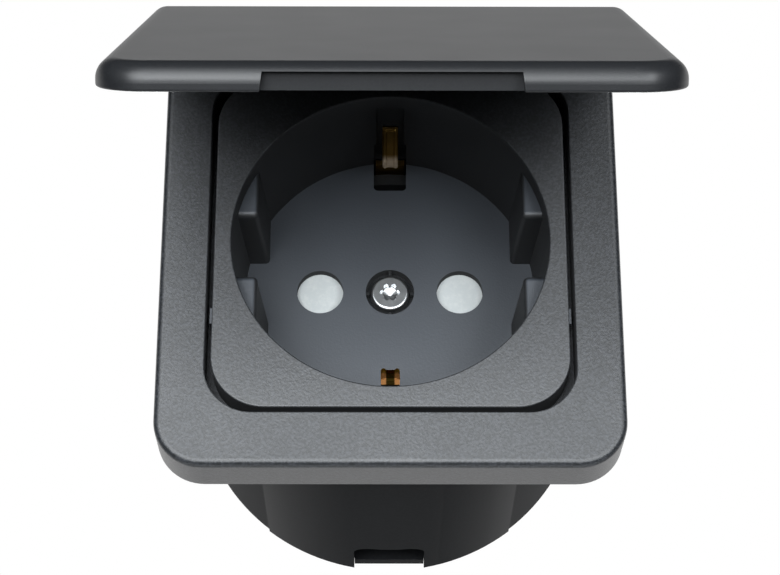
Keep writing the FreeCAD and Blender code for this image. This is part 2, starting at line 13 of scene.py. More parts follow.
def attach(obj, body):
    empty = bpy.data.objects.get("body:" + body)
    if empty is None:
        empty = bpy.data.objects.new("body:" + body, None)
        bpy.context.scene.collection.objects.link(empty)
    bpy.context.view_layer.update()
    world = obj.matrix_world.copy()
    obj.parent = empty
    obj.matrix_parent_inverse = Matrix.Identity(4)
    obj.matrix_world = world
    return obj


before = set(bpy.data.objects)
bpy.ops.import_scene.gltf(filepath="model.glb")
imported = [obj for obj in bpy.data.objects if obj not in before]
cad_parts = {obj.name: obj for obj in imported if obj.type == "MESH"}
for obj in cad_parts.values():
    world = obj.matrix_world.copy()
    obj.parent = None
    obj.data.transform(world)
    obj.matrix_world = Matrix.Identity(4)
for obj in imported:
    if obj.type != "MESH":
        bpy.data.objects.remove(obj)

Tree = bpy.types.NodeTree
Signal = bpy.types.NodeSocket

LOG = logging.getLogger("wall_socket")
MM = 0.001
IMAGE_WIDTH_PX = 780
WHITE = (1.0, 1.0, 1.0, 1.0)

# A Mix node repeats its socket names for each kind of data, so its colours go by number.
MIX_A, MIX_B, MIX_RESULT = 6, 7, 2
# A wave texture of scale 1 has this many waves in a metre.
WAVES_PER_METRE = 20 / math.tau
# Noise stays near its middle: these values of it stand for none and all of a pattern.
CLOUD_ENDS = (0.3, 0.7)
FLECK_ENDS = (0.42, 0.64)
# The Y of a surface's normal where it begins to look out of the wall, and where it fully does.
FACING_ENDS = (-0.8, -0.97)
# How finely the grown detail is divided.
BEND_STEPS = 6
RAIL_SIDES = 10
RING_STEPS = 48
RING_SIDES = 8
# The corners of the small square that stands for an ejector pin's end, in millimetres.
GUIDE_CORNERS = ((-1, -1), (1, -1), (1, 1), (-1, 1))


class Body(Enum):
    """The rigid bodies that added pieces ride on."""

    SOCKET = "socket"
    LID = "lid"


class Slot(Enum):
    """Material slot names for the added pieces."""

    LID = "lid_plastic"
    CUP = "cup_plastic"
    BRASS = "contact_brass"


class Ray(Enum):
    """The kinds of ray that see the studio's white background."""

    CAMERA = "Is Camera Ray"
    GLOSSY = "Is Glossy Ray"
    TRANSMISSION = "Is Transmission Ray"


class Grower(Enum):
    """The Geometry Nodes trees that grow detail from a few guide points."""

    RAIL = "swept_rail"
    RING = "moulded_ring"


def linear(colour: str) -> tuple[float, float, float, float]:
    """Turn an sRGB hex colour into linear values.

    Args:
        colour: Six hex digits with a leading hash.

    Returns:
        Red, green, blue and alpha.
    """
    parts = [int(colour[i : i + 2], 16) / 255 for i in (1, 3, 5)]
    red, green, blue = (c / 12.92 if c <= 0.04045 else ((c + 0.055) / 1.055) ** 2.4 for c in parts)
    return red, green, blue, 1.0


def cycles_per_metre(size_mm: float) -> float:
    """The texture scale that gives a pattern of this size on metre coordinates."""
    return 1 / (size_mm * MM)


def add(
    tree: Tree,
    kind: str,
    settings: Optional[Mapping[str | int, Any]] = None,
    links: Optional[Mapping[str | int, Signal]] = None,
) -> bpy.types.Node:
    """Add one node with its settings and incoming links.

    Args:
        tree: The tree that gets the node.
        kind: The node's Blender type name.
        settings: Properties by name, or input values by the input's name or number.
        links: Incoming signals by the input's name or number.

    Returns:
        The new node.
    """
    made = tree.nodes.new(kind)
    for key, value in (settings or {}).items():
        if isinstance(key, int) or key in made.inputs:
            made.inputs[key].default_value = value
        else:
            setattr(made, key, value)
    for key, source in (links or {}).items():
        tree.links.new(source, made.inputs[key])
    return made


@dataclass(frozen=True)
class Finish:
    """A surface by its common name and its making, with the sizes that it is drawn at."""

    name: str
    colour: str
    roughness: float

    def blank(self) -> tuple[bpy.types.Material, Tree, bpy.types.Node]:
        """Start a material.

        Returns:
            The material, its emptied node tree and its shader node.
        """
        made = bpy.data.materials.new(self.name)
        made.use_nodes = True
        tree = made.node_tree
        tree.nodes.clear()
        shader = add(tree, "ShaderNodeBsdfPrincipled", {"Roughness": self.roughness})
        add(tree, "ShaderNodeOutputMaterial", links={"Surface": shader.outputs[0]})
        return made, tree, shader

    def material(self) -> bpy.types.Material:
        """Build the finish's material."""
        raise NotImplementedError


@dataclass(frozen=True)
class MouldedPlastic(Finish):
    """Plastic moulded in a steel cavity.

    The cavity leaves a skin of tiny pits, which dulls the surface and breaks its highlights
    into specks. Real pits are under a tenth of a millimetre, finer than the render's pixels,
    so the grain is drawn a few times coarser, to show.
    """

    fleck: str = "#303236"
    grain_mm: float = 0.35
    grain_depth_mm: float = 0.035
    cloud_mm: float = 9.0
    cloud_spread: float = 0.03
    specular: float = 0.5
    ior: float = 1.53

    def facing(self, tree: Tree) -> Signal:
        """Tell the surfaces that look out of the wall from the sides.

        Args:
            tree: The material's node tree.

        Returns:
            1 where the surface looks out of the wall, and 0 on the sides.
        """
        turned = add(tree, "ShaderNodeTexCoord").outputs["Normal"]
        lean = add(tree, "ShaderNodeSeparateXYZ", links={0: turned}).outputs["Y"]
        ends = {"From Min": FACING_ENDS[0], "From Max": FACING_ENDS[1]}
        return add(tree, "ShaderNodeMapRange", ends, {"Value": lean}).outputs[0]

    def tone(self, tree: Tree, place: Signal, flecked: Signal) -> Signal:
        """The colour, which is the flecked one all over unless a finish says otherwise."""
        return flecked

    def sheen(self, tree: Tree, place: Signal, cloudy: Signal) -> Signal:
        """The roughness, which is the cloudy one all over unless a finish says otherwise."""
        return cloudy

    def relief(self, tree: Tree, place: Signal, grain: Signal) -> Signal:
        """The height of the pits, which is even all over unless a finish says otherwise."""
        return grain

    def material(self) -> bpy.types.Material:
        """Build the plastic.

        Returns:
            The material, with its flecks, clouds and pits.
        """
        made, tree, shader = self.blank()
        place = add(tree, "ShaderNodeTexCoord").outputs["Object"]
        fine = {"Scale": cycles_per_metre(self.grain_mm), "Detail": 3.0, "Roughness": 0.6}
        grain = add(tree, "ShaderNodeTexNoise", fine, {"Vector": place}).outputs[0]
        wide = {"Scale": cycles_per_metre(self.cloud_mm), "Detail": 2.0}
        cloud = add(tree, "ShaderNodeTexNoise", wide, {"Vector": place}).outputs[0]
        ends = {"From Min": FLECK_ENDS[0], "From Max": FLECK_ENDS[1]}
        share = add(tree, "ShaderNodeMapRange", ends, {"Value": grain}).outputs[0]
        colours = {"data_type": "RGBA", MIX_A: linear(self.colour), MIX_B: linear(self.fleck)}
        flecked = add(tree, "ShaderNodeMix", colours, {0: share}).outputs[MIX_RESULT]
        spread = {
            "From Min": CLOUD_ENDS[0],
            "From Max": CLOUD_ENDS[1],
            "To Min": self.roughness - self.cloud_spread,
            "To Max": self.roughness + self.cloud_spread,
        }
        cloudy = add(tree, "ShaderNodeMapRange", spread, {"Value": cloud}).outputs[0]
        pits = {"Strength": 1.0, "Distance": self.grain_depth_mm * MM}
        height = self.relief(tree, place, grain)
        bump = add(tree, "ShaderNodeBump", pits, {"Height": height}).outputs[0]
        tree.links.new(self.tone(tree, place, flecked), shader.inputs["Base Color"])
        tree.links.new(self.sheen(tree, place, cloudy), shader.inputs["Roughness"])
        tree.links.new(bump, shader.inputs["Normal"])
        shader.inputs["IOR"].default_value = self.ior
        shader.inputs["Specular IOR Level"].default_value = self.specular
        return made


@dataclass(frozen=True)
class PlatePlastic(MouldedPlastic):
    """The plate's plastic: an even front, outer sides that shine more, and a dull opening."""

    front_y_mm: float = -6.5
    front_fade_mm: float = 0.3
    side_roughness: float = 0.35
    opening_mm: float = 24.5
    opening_fade_mm: float = 1.0
    opening_roughness: float = 0.75
    back_y_mm: float = -0.2
    back_fade_mm: float = 0.2
    far_m: float = 0.1

    def square_reach(self, tree: Tree, place: Signal) -> Signal:
        """Measure how far a point is from the plug axis, squarely.

        Args:
            tree: The material's node tree.
            place: The point.

        Returns:
            The larger of its two distances across the plate in metres. The plate's back counts
            as far away, so that the dull opening doesn't show there.
        """
        axes = add(tree, "ShaderNodeSeparateXYZ", links={0: place}).outputs
        x, z = (
            add(tree, "ShaderNodeMath", {"operation": "ABSOLUTE"}, {0: axes[axis]}).outputs[0]
            for axis in ("X", "Z")
        )
        larger = {"operation": "MAXIMUM"}
        across = add(tree, "ShaderNodeMath", larger, {0: x, 1: z}).outputs[0]
        rear = {
            "From Min": (self.back_y_mm - self.back_fade_mm) * MM,
            "From Max": self.back_y_mm * MM,
            "To Max": self.far_m,
        }
        behind = add(tree, "ShaderNodeMapRange", rear, {"Value": axes["Y"]}).outputs[0]
        return add(tree, "ShaderNodeMath", larger, {0: across, 1: behind}).outputs[0]

    def sheen(self, tree: Tree, place: Signal, cloudy: Signal) -> Signal:
        """Give the front, the sides and the opening their own roughness.

        Args:
            tree: The material's node tree.
            place: The point.
            cloudy: The front's roughness.

        Returns:
            The roughness.
        """
        depth = add(tree, "ShaderNodeSeparateXYZ", links={0: place}).outputs["Y"]
        ends = {
            "From Min": (self.front_y_mm + self.front_fade_mm) * MM,
            "From Max": self.front_y_mm * MM,
        }
        outer = add(tree, "ShaderNodeMapRange", ends, {"Value": depth}).outputs[0]
        both = {0: self.facing(tree), 1: outer}
        front = add(tree, "ShaderNodeMath", {"operation": "MULTIPLY"}, both).outputs[0]
        walls = {
            "From Min": self.opening_mm * MM,
            "From Max": (self.opening_mm + self.opening_fade_mm) * MM,
            "To Min": self.opening_roughness,
            "To Max": self.side_roughness,
        }
        reach = self.square_reach(tree, place)
        side = add(tree, "ShaderNodeMapRange", walls, {"Value": reach}).outputs[0]
        links = {"Value": front, "To Min": side, "To Max": cloudy}
        return add(tree, "ShaderNodeMapRange", links=links).outputs[0]


@dataclass(frozen=True)
class WellPlastic(MouldedPlastic):
    """The insert's plastic: a face like the plate's, and a well with finer grain, painted lighter
    on its floor and darker on its walls and behind its floor.
    """

    face_y_mm: float = -6.75
    face_fade_mm: tuple[float, float] = (0.2, 0.6)
    well_grain: float = 0.5
    well_roughness: float = 0.5
    wall_roughness: float = 0.65
    # Lit and shaded copies of the plastic: painted shade on the walls and behind the floor, and
    # painted light, lighter and bluish, on the floor.
    wall_painted_shade_colour: str = "#111316"
    floor_painted_light_colour: str = "#32373e"
    floor_y_mm: float = 10.85
    floor_fade_mm: tuple[float, float] = (0.02, 0.1)
    hidden_roughness: float = 1.0

    def ahead(self, tree: Tree, place: Signal) -> Signal:
        """Tell the face from the well.

        Args:
            tree: The material's node tree.
            place: The point.

        Returns:
            1 on the face, and 0 in the well.
        """
        depth = add(tree, "ShaderNodeSeparateXYZ", links={0: place}).outputs["Y"]
        start, end = self.face_fade_mm
        fade = {
            "From Min": (self.face_y_mm + start) * MM,
            "From Max": (self.face_y_mm + end) * MM,
            "To Min": 1.0,
            "To Max": 0.0,
        }
        return add(tree, "ShaderNodeMapRange", fade, {"Value": depth}).outputs[0]

    def hidden(self, tree: Tree, place: Signal) -> Signal:
        """Tell what lies behind the well's floor, so that nothing glints in the holes and it takes
        the walls' painted shade.

        Args:
            tree: The material's node tree.
            place: The point.

        Returns:
            1 behind the floor, and 0 in front of it.
        """
        depth = add(tree, "ShaderNodeSeparateXYZ", links={0: place}).outputs["Y"]
        start, end = self.floor_fade_mm
        fade = {
            "From Min": (self.floor_y_mm + start) * MM,
            "From Max": (self.floor_y_mm + end) * MM,
        }
        return add(tree, "ShaderNodeMapRange", fade, {"Value": depth}).outputs[0]

    def tone(self, tree: Tree, place: Signal, flecked: Signal) -> Signal:
        """Give the well's walls and floor their own colours: painted shade on the walls and behind
        the floor, painted light on the floor.

        Args:
            tree: The material's node tree.
            place: The point.
            flecked: The face's colour.

        Returns:
            The colour.
        """
        # Painted shade on the walls and behind the floor, painted light on the floor.
        wall, floor = linear(self.wall_painted_shade_colour), linear(self.floor_painted_light_colour)
        smooth = {"data_type": "RGBA", MIX_A: wall, MIX_B: floor}
        shown = add(tree, "ShaderNodeMix", smooth, {0: self.facing(tree)}).outputs[MIX_RESULT]
        dark = {"data_type": "RGBA", MIX_B: wall}
        links = {0: self.hidden(tree, place), MIX_A: shown}
        well = add(tree, "ShaderNodeMix", dark, links).outputs[MIX_RESULT]
        links = {0: self.ahead(tree, place), MIX_A: well, MIX_B: flecked}
        return add(tree, "ShaderNodeMix", {"data_type": "RGBA"}, links).outputs[MIX_RESULT]

    def sheen(self, tree: Tree, place: Signal, cloudy: Signal) -> Signal:
        """Give the well's floor, its walls and what lies behind their own roughness.

        Args:
            tree: The material's node tree.
            place: The point.
            cloudy: The face's roughness.

        Returns:
            The roughness.
        """
        inside = {"To Min": self.well_roughness}
        links = {"Value": self.ahead(tree, place), "To Max": cloudy}
        flat = add(tree, "ShaderNodeMapRange", inside, links).outputs[0]
        walls = {"To Min": self.wall_roughness}
        links = {"Value": self.facing(tree), "To Max": flat}
        shown = add(tree, "ShaderNodeMapRange", walls, links).outputs[0]
        dull = {"To Max": self.hidden_roughness}
        links = {"Value": self.hidden(tree, place), "To Min": shown}
        return add(tree, "ShaderNodeMapRange", dull, links).outputs[0]

    def relief(self, tree: Tree, place: Signal, grain: Signal) -> Signal:
        """Lower the pits in the well.

        Args:
            tree: The material's node tree.
            place: The point.
            grain: The face's pits.

        Returns:
            The height of the pits.
        """
        kept = {"To Min": self.well_grain}
        ahead = {"Value": self.ahead(tree, place)}
        share = add(tree, "ShaderNodeMapRange", kept, ahead).outputs[0]
        both = {0: grain, 1: share}
        return add(tree, "ShaderNodeMath", {"operation": "MULTIPLY"}, both).outputs[0]


@dataclass(frozen=True)
class CupPlastic(MouldedPlastic):
    """The cup's plastic, with a sheen that grows up to the edge of a shallow flute."""

    flute_deg: float = 37.6
    low_roughness: float = 0.77
    edge_roughness: float = 0.53
    beyond_roughness: float = 0.66
    low_share: float = 0.3
    step_share: float = 1.03

    def sheen(self, tree: Tree, place: Signal, cloudy: Signal) -> Signal:
        """Spread the sheen round the cup, by the angle from its lowest line.

        Args:
            tree: The material's node tree.
            place: The point.
            cloudy: The even roughness, which the cup doesn't keep.

        Returns:
            The roughness: dull below, less so up to the flute's edge, and dull again beyond it.
        """
        axes = add(tree, "ShaderNodeSeparateXYZ", links={0: place}).outputs
        size = {"operation": "ABSOLUTE"}
        across = add(tree, "ShaderNodeMath", size, {0: axes["X"]}).outputs[0]
        from_top = {0: across, 1: axes["Z"]}
        angle = add(tree, "ShaderNodeMath", {"operation": "ARCTAN2"}, from_top).outputs[0]
        edge = math.radians(self.flute_deg)
        inner = {
            "From Min": math.pi - self.low_share * edge,
            "From Max": math.pi - edge,
            "To Min": self.low_roughness,
            "To Max": self.edge_roughness,
        }
        below = add(tree, "ShaderNodeMapRange", inner, {"Value": angle}).outputs[0]
        step = {
            "From Min": math.pi - edge,
            "From Max": math.pi - self.step_share * edge,
            "To Max": self.beyond_roughness,
        }
        links = {"Value": angle, "To Min": below}
        return add(tree, "ShaderNodeMapRange", step, links).outputs[0]


@dataclass(frozen=True)
class RolledBrass(Finish):
    """Brass strip, rolled and stamped.

    Rolling leaves fine lines along the strip, drawn coarser than the real ones so that they show.
    The upper clip is pale on its bow and the lower one coppery at its folded tip: rubbing, with a
    painted highlight over it where these curves face the lamps. The lower one has a channel coined
    along its middle, darkened as painted shade.
    """

    tarnish: str = "#58451a"
    # The bow's pale colour and the tip's coppery one are rubbing with a painted highlight. The
    # channel's dark colour is painted shade.
    worn_with_painted_highlight: str = "#e6d2b8"
    worn_roughness: float = 0.6
    folded: str = "#a97748"
    channel: str = "#2e240c"
    edge: str = "#c8a662"
    line_mm: float = 0.12
    line_stretch: float = 0.05
    line_depth_mm: float = 0.05
    line_strength: float = 0.6
    cloud_mm: float = 2.5
    halves_fade_mm: float = 1.0
    bow_ends_mm: tuple[float, float] = (15.5, 14.9)
    tip_ends_mm: tuple[float, float] = (-0.2, -1.0)
    channel_ends_mm: tuple[float, float] = (0.63, 0.47)
    channel_stops_mm: tuple[float, float] = (3.4, 3.1)

    def material(self) -> bpy.types.Material:
        """Build the brass.

        Returns:
            The material, tarnished in clouds, pale on the bow and coppery at the tip from rubbing
            with a painted highlight, and darkened in its channel as painted shade.
        """
        made, tree, shader = self.blank()
        place = add(tree, "ShaderNodeTexCoord").outputs["Object"]
        along = {"Scale": (1.0, self.line_stretch, self.line_stretch)}
        drawn = add(tree, "ShaderNodeMapping", along, {"Vector": place}).outputs[0]
        fine = {"Scale": cycles_per_metre(self.line_mm), "Detail": 3.0}
        lines = add(tree, "ShaderNodeTexNoise", fine, {"Vector": drawn}).outputs[0]
        wide = {"Scale": cycles_per_metre(self.cloud_mm), "Detail": 2.0}
        cloud = add(tree, "ShaderNodeTexNoise", wide, {"Vector": place}).outputs[0]

        axes = add(tree, "ShaderNodeSeparateXYZ", links={0: place}).outputs
        across, away = (
            add(tree, "ShaderNodeMath", {"operation": "ABSOLUTE"}, {0: axes[axis]}).outputs[0]
            for axis in ("X", "Z")
        )
        # Each stretch of the strip fades in from its first end and is full at its second.
        stretches = (
            (axes["Z"], (0.0, -self.halves_fade_mm)),
            (away, self.bow_ends_mm),
            (axes["Y"], self.tip_ends_mm),
            (across, self.channel_ends_mm),
            (axes["Y"], self.channel_stops_mm),
        )
        shares = []
        for measure, (start, full) in stretches:
            ends = {"From Min": start * MM, "From Max": full * MM}
            shares.append(add(tree, "ShaderNodeMapRange", ends, {"Value": measure}).outputs[0])
        lower, bow, tip, middle, front = shares
        product = {"operation": "MULTIPLY"}
        ahead = add(tree, "ShaderNodeMath", product, {0: lower, 1: front}).outputs[0]
        coined = add(tree, "ShaderNodeMath", product, {0: middle, 1: ahead}).outputs[0]
        halves = {"Value": lower, "To Min": bow, "To Max": tip}
        rub_and_painted_highlight = add(tree, "ShaderNodeMapRange", links=halves).outputs[0]

        strip = {"data_type": "RGBA", MIX_A: linear(self.colour), MIX_B: linear(self.tarnish)}
        plain = add(tree, "ShaderNodeMix", strip, {0: cloud}).outputs[MIX_RESULT]
        # Painted highlight over rubbing: pale on the upper bow, coppery at the lower tip.
        rub_and_highlight_colours = {"data_type": "RGBA", MIX_A: linear(self.worn_with_painted_highlight), MIX_B: linear(self.folded)}
        rubbed_and_highlit = add(tree, "ShaderNodeMix", rub_and_highlight_colours, {0: lower}).outputs[MIX_RESULT]
        links = {0: rub_and_painted_highlight, MIX_A: plain, MIX_B: rubbed_and_highlit}
        bright = add(tree, "ShaderNodeMix", {"data_type": "RGBA"}, links).outputs[MIX_RESULT]
        # Painted shade: the coined channel is darkened in colour, as well as sunk by the bump
        # below.
        dark = {"data_type": "RGBA", MIX_B: linear(self.channel)}
        links = {0: coined, MIX_A: bright}
        tone = add(tree, "ShaderNodeMix", dark, links).outputs[MIX_RESULT]

        sunk = {0: lines, 1: coined}
        height = add(tree, "ShaderNodeMath", {"operation": "SUBTRACT"}, sunk).outputs[0]
        depth = {"Strength": self.line_strength, "Distance": self.line_depth_mm * MM}
        bump = add(tree, "ShaderNodeBump", depth, {"Height": height}).outputs[0]
        dulled = {"To Min": self.roughness, "To Max": self.worn_roughness}
        rough = add(tree, "ShaderNodeMapRange", dulled, {"Value": rub_and_painted_highlight}).outputs[0]
        tree.links.new(tone, shader.inputs["Base Color"])
        tree.links.new(rough, shader.inputs["Roughness"])
        tree.links.new(bump, shader.inputs["Normal"])
        shader.inputs["Metallic"].default_value = 1.0
        shader.inputs["Specular Tint"].default_value = linear(self.edge)
        return made


@dataclass(frozen=True)
class PlatedSteel(Finish):
    """Steel, turned, headed or drawn.

    Its tool leaves faint rings, drawn here round the plug axis, which is the visible screw's
    own. Real ones are some hundredths of a millimetre apart, too fine to show, so they are
    drawn much wider.
    """

    dull: str = "#8d9093"
    cloud_mm: float = 0.9
    ring_mm: float = 1.885
    ring_depth_mm: float = 0.01
    ring_strength: float = 0.25
    ring_wobble: float = 0.6

    def material(self) -> bpy.types.Material:
        """Build the steel.

        Returns:
            The material, with turning rings and small dull clouds.
        """
        made, tree, shader = self.blank()
        place = add(tree, "ShaderNodeTexCoord").outputs["Object"]
        small = {"Scale": cycles_per_metre(self.cloud_mm), "Detail": 3.0}
        cloud = add(tree, "ShaderNodeTexNoise", small, {"Vector": place}).outputs[0]
        turned = {
            "wave_type": "RINGS",
            "rings_direction": "Y",
            "Scale": cycles_per_metre(self.ring_mm) / WAVES_PER_METRE,
            "Distortion": self.ring_wobble,
        }
        rings = add(tree, "ShaderNodeTexWave", turned, {"Vector": place}).outputs["Fac"]
        colours = {"data_type": "RGBA", MIX_A: linear(self.colour), MIX_B: linear(self.dull)}
        tone = add(tree, "ShaderNodeMix", colours, {0: cloud}).outputs[MIX_RESULT]
        depth = {"Strength": self.ring_strength, "Distance": self.ring_depth_mm * MM}
        bump = add(tree, "ShaderNodeBump", depth, {"Height": rings}).outputs[0]
        tree.links.new(tone, shader.inputs["Base Color"])
        tree.links.new(bump, shader.inputs["Normal"])
        shader.inputs["Metallic"].default_value = 1.0
        return made


# An eroded cavity: satin anthracite with fine specks, and sides that catch a brighter line.
FRAME_ABS = PlatePlastic(
    "ABS moulded on an eroded cavity, anthracite", "#1c1e20", 0.5, specular=0.7
)
# The same face, but a finer core forms the well, so its floor looks smooth. Its floor is painted
# lighter and bluish grey as painted light, and its walls are painted darker as painted shade, so
# they fall off into the dark.
INSERT_ABS = WellPlastic(
    "ABS moulded with an eroded face and a polished well, anthracite", "#1c1e20", 0.5, specular=0.8
)
# A fine matt cavity: hardly any specks, and one soft, long highlight along the edge.
LID_ABS = MouldedPlastic(
    "ABS moulded on a fine matt cavity, anthracite",
    "#1a1b1d",
    0.38,
    fleck="#1e1f21",
    grain_mm=0.25,
    grain_depth_mm=0.004,
    cloud_spread=0.006,
    specular=0.36,
)
# A plain cavity: almost black, with a weak and broad sheen that stops at the flute.
CUP_POLYAMIDE = CupPlastic(
    "Polyamide moulded plain, black",
    "#141517",
    0.6,
    fleck="#191a1c",
    grain_mm=0.5,
    grain_depth_mm=0.006,
    specular=0.13,
)
# The same plastic on a flat, dull cavity: black, with almost no shine.
COVER_POLYAMIDE = MouldedPlastic(
    "Polyamide moulded plain, black, flat",
    "#141517",
    0.65,
    fleck="#191a1c",
    grain_mm=0.5,
    grain_depth_mm=0.006,
    specular=0.07,
)
# A filled resin: dull black, so that what lies behind the holes and slots stays dark.
BASE_RESIN = MouldedPlastic(
    "Thermoset moulded, black", "#151617", 0.6, fleck="#1b1c1d", specular=0.2
)
# Plastic with no pigment: smooth and milky white, the bright spots in the pin holes.
SHUTTER_PBT = MouldedPlastic(
    "PBT moulded, natural white",
    "#bfc4c4",
    0.35,
    fleck="#c7cbca",
    grain_mm=0.6,
    grain_depth_mm=0.003,
)
# Rolled strip: warm yellow with brown tarnish and fine lines, pale and coppery patches from
# rubbing with a painted highlight, and painted shade in the coined channel.
CONTACT_BRASS = RolledBrass("Brass strip, rolled and stamped", "#c79d55", 0.32)
# Bright zinc: silvery, with small dull clouds and a blurred reflection of the room.
ZINC_SCREW = PlatedSteel("Steel screw, bright zinc plate", "#e0e2e3", 0.34, dull="#a9acae")
# Drawn wire: a darker, plainer grey with a sharper glint.
HINGE_STEEL = PlatedSteel("Steel wire, drawn", "#9a9c9f", 0.3, dull="#707275")


def swept_rail(tree: Tree, guide: Mapping[str, Signal]) -> Signal:
    """Sweep a round bar along the guide's edges.

    Args:
        tree: The Geometry Nodes tree.
        guide: The tree's inputs: Guide, Radius and Bend.

    Returns:
        The bar, with its corners bent and its ends closed.
    """
    line = add(tree, "GeometryNodeMeshToCurve", links={"Mesh": guide["Guide"]}).outputs[0]
    bend = {"mode": "POLY", "Count": BEND_STEPS, "Limit Radius": True}
    links = {"Curve": line, "Radius": guide["Bend"]}
    bent = add(tree, "GeometryNodeFilletCurve", bend, links).outputs[0]
    sides, radius = {"Resolution": RAIL_SIDES}, {"Radius": guide["Radius"]}
    section = add(tree, "GeometryNodeCurvePrimitiveCircle", sides, radius).outputs[0]
    links = {"Curve": bent, "Profile Curve": section}
    return add(tree, "GeometryNodeCurveToMesh", {"Fill Caps": True}, links).outputs[0]


def moulded_ring(tree: Tree, guide: Mapping[str, Signal]) -> Signal:
    """Set a low ring on each of the guide's faces.

    Args:
        tree: The Geometry Nodes tree.
        guide: The tree's inputs: Guide, Radius and Height.

    Returns:
        The rings, turned to their faces.
    """
    steps, radius = {"Resolution": RING_STEPS}, {"Radius": guide["Radius"]}
    loop = add(tree, "GeometryNodeCurvePrimitiveCircle", steps, radius).outputs[0]
    sides, height = {"Resolution": RING_SIDES}, {"Radius": guide["Height"]}
    section = add(tree, "GeometryNodeCurvePrimitiveCircle", sides, height).outputs[0]
    links = {"Curve": loop, "Profile Curve": section}
    ring = add(tree, "GeometryNodeCurveToMesh", links=links).outputs[0]
    aim = {"Vector": add(tree, "GeometryNodeInputNormal").outputs[0]}
    turn = add(tree, "FunctionNodeAlignRotationToVector", {"axis": "Z"}, aim).outputs[0]
    faces = {"Geometry": guide["Guide"]}
    kept = add(tree, "GeometryNodeCaptureAttribute", {"domain": "FACE"}, faces)
    kept.capture_items.new("ROTATION", "Turn")
    tree.links.new(turn, kept.inputs["Turn"])
    held = {"Mesh": kept.outputs["Geometry"]}
    spots = add(tree, "GeometryNodeMeshToPoints", {"mode": "FACES"}, held).outputs[0]
    links = {"Points": spots, "Instance": ring, "Rotation": kept.outputs["Turn"]}
    return add(tree, "GeometryNodeInstanceOnPoints", links=links).outputs[0]


def grower(kind: Grower, sizes: Mapping[str, float], material: bpy.types.Material) -> Tree:
    """Build a Geometry Nodes tree with named inputs for its sizes.

    Args:
        kind: Which detail the tree grows.
        sizes: Input names with their default values in metres.
        material: What the grown mesh is made of.

    Returns:
        The tree.
    """
    tree = bpy.data.node_groups.new(kind.value, "GeometryNodeTree")
    tree.interface.new_socket("Guide", in_out="INPUT", socket_type="NodeSocketGeometry")
    for name, value in sizes.items():
        made = tree.interface.new_socket(name, in_out="INPUT", socket_type="NodeSocketFloat")
        made.default_value = value
    tree.interface.new_socket("Mesh", in_out="OUTPUT", socket_type="NodeSocketGeometry")
    guide = add(tree, "NodeGroupInput").outputs
    grown = swept_rail(tree, guide) if kind is Grower.RAIL else moulded_ring(tree, guide)
    smooth = add(tree, "GeometryNodeSetShadeSmooth", links={"Geometry": grown}).outputs[0]
    real = add(tree, "GeometryNodeRealizeInstances", links={"Geometry": smooth}).outputs[0]
    dress = {"Material": material}
    done = add(tree, "GeometryNodeSetMaterial", dress, {"Geometry": real}).outputs[0]
    add(tree, "NodeGroupOutput", links={0: done})
    return tree


def grow(
    name: str,
    guide: bpy.types.Mesh,
    kind: Grower,
    sizes: Mapping[str, float],
    material: bpy.types.Material,
) -> bpy.types.Object:
    """Grow a plain mesh piece from a guide mesh.

    Args:
        name: The piece's name.
        guide: Edges or faces that the detail follows, in place.
        kind: Which detail to grow.
        sizes: Input values in metres by input name.
        material: What the piece is made of.

    Returns:
        The finished piece at the origin, with no modifier left.
    """
    tree = grower(kind, sizes, material)
    carrier = bpy.data.objects.new(name, guide)
    bpy.context.scene.collection.objects.link(carrier)
    live = carrier.modifiers.new("grow", "NODES")
    live.node_group = tree
    for item in tree.interface.items_tree:
        if item.in_out == "INPUT" and item.name in sizes:
            live[item.identifier] = sizes[item.name]
    depsgraph = bpy.context.evaluated_depsgraph_get()
    depsgraph.update()
    mesh = bpy.data.meshes.new_from_object(carrier.evaluated_get(depsgraph))
    carrier.modifiers.remove(live)
    carrier.data = mesh
    bpy.data.meshes.remove(guide)
    LOG.info("%s has %d faces", name, len(mesh.polygons))
    return carrier


class Workshop:
    """Keeps each finish's material, so that pieces of one finish share it."""

    def __init__(self) -> None:
        """Start with no materials."""
        self._made: dict[str, bpy.types.Material] = {}

    def material(self, finish: Finish) -> bpy.types.Material:
        """Fetch a finish's material, and build it when it is first asked for.

        Args:
            finish: The finish.

        Returns:
            Its material.
        """
        if finish.name not in self._made:
            self._made[finish.name] = finish.material()
        return self._made[finish.name]


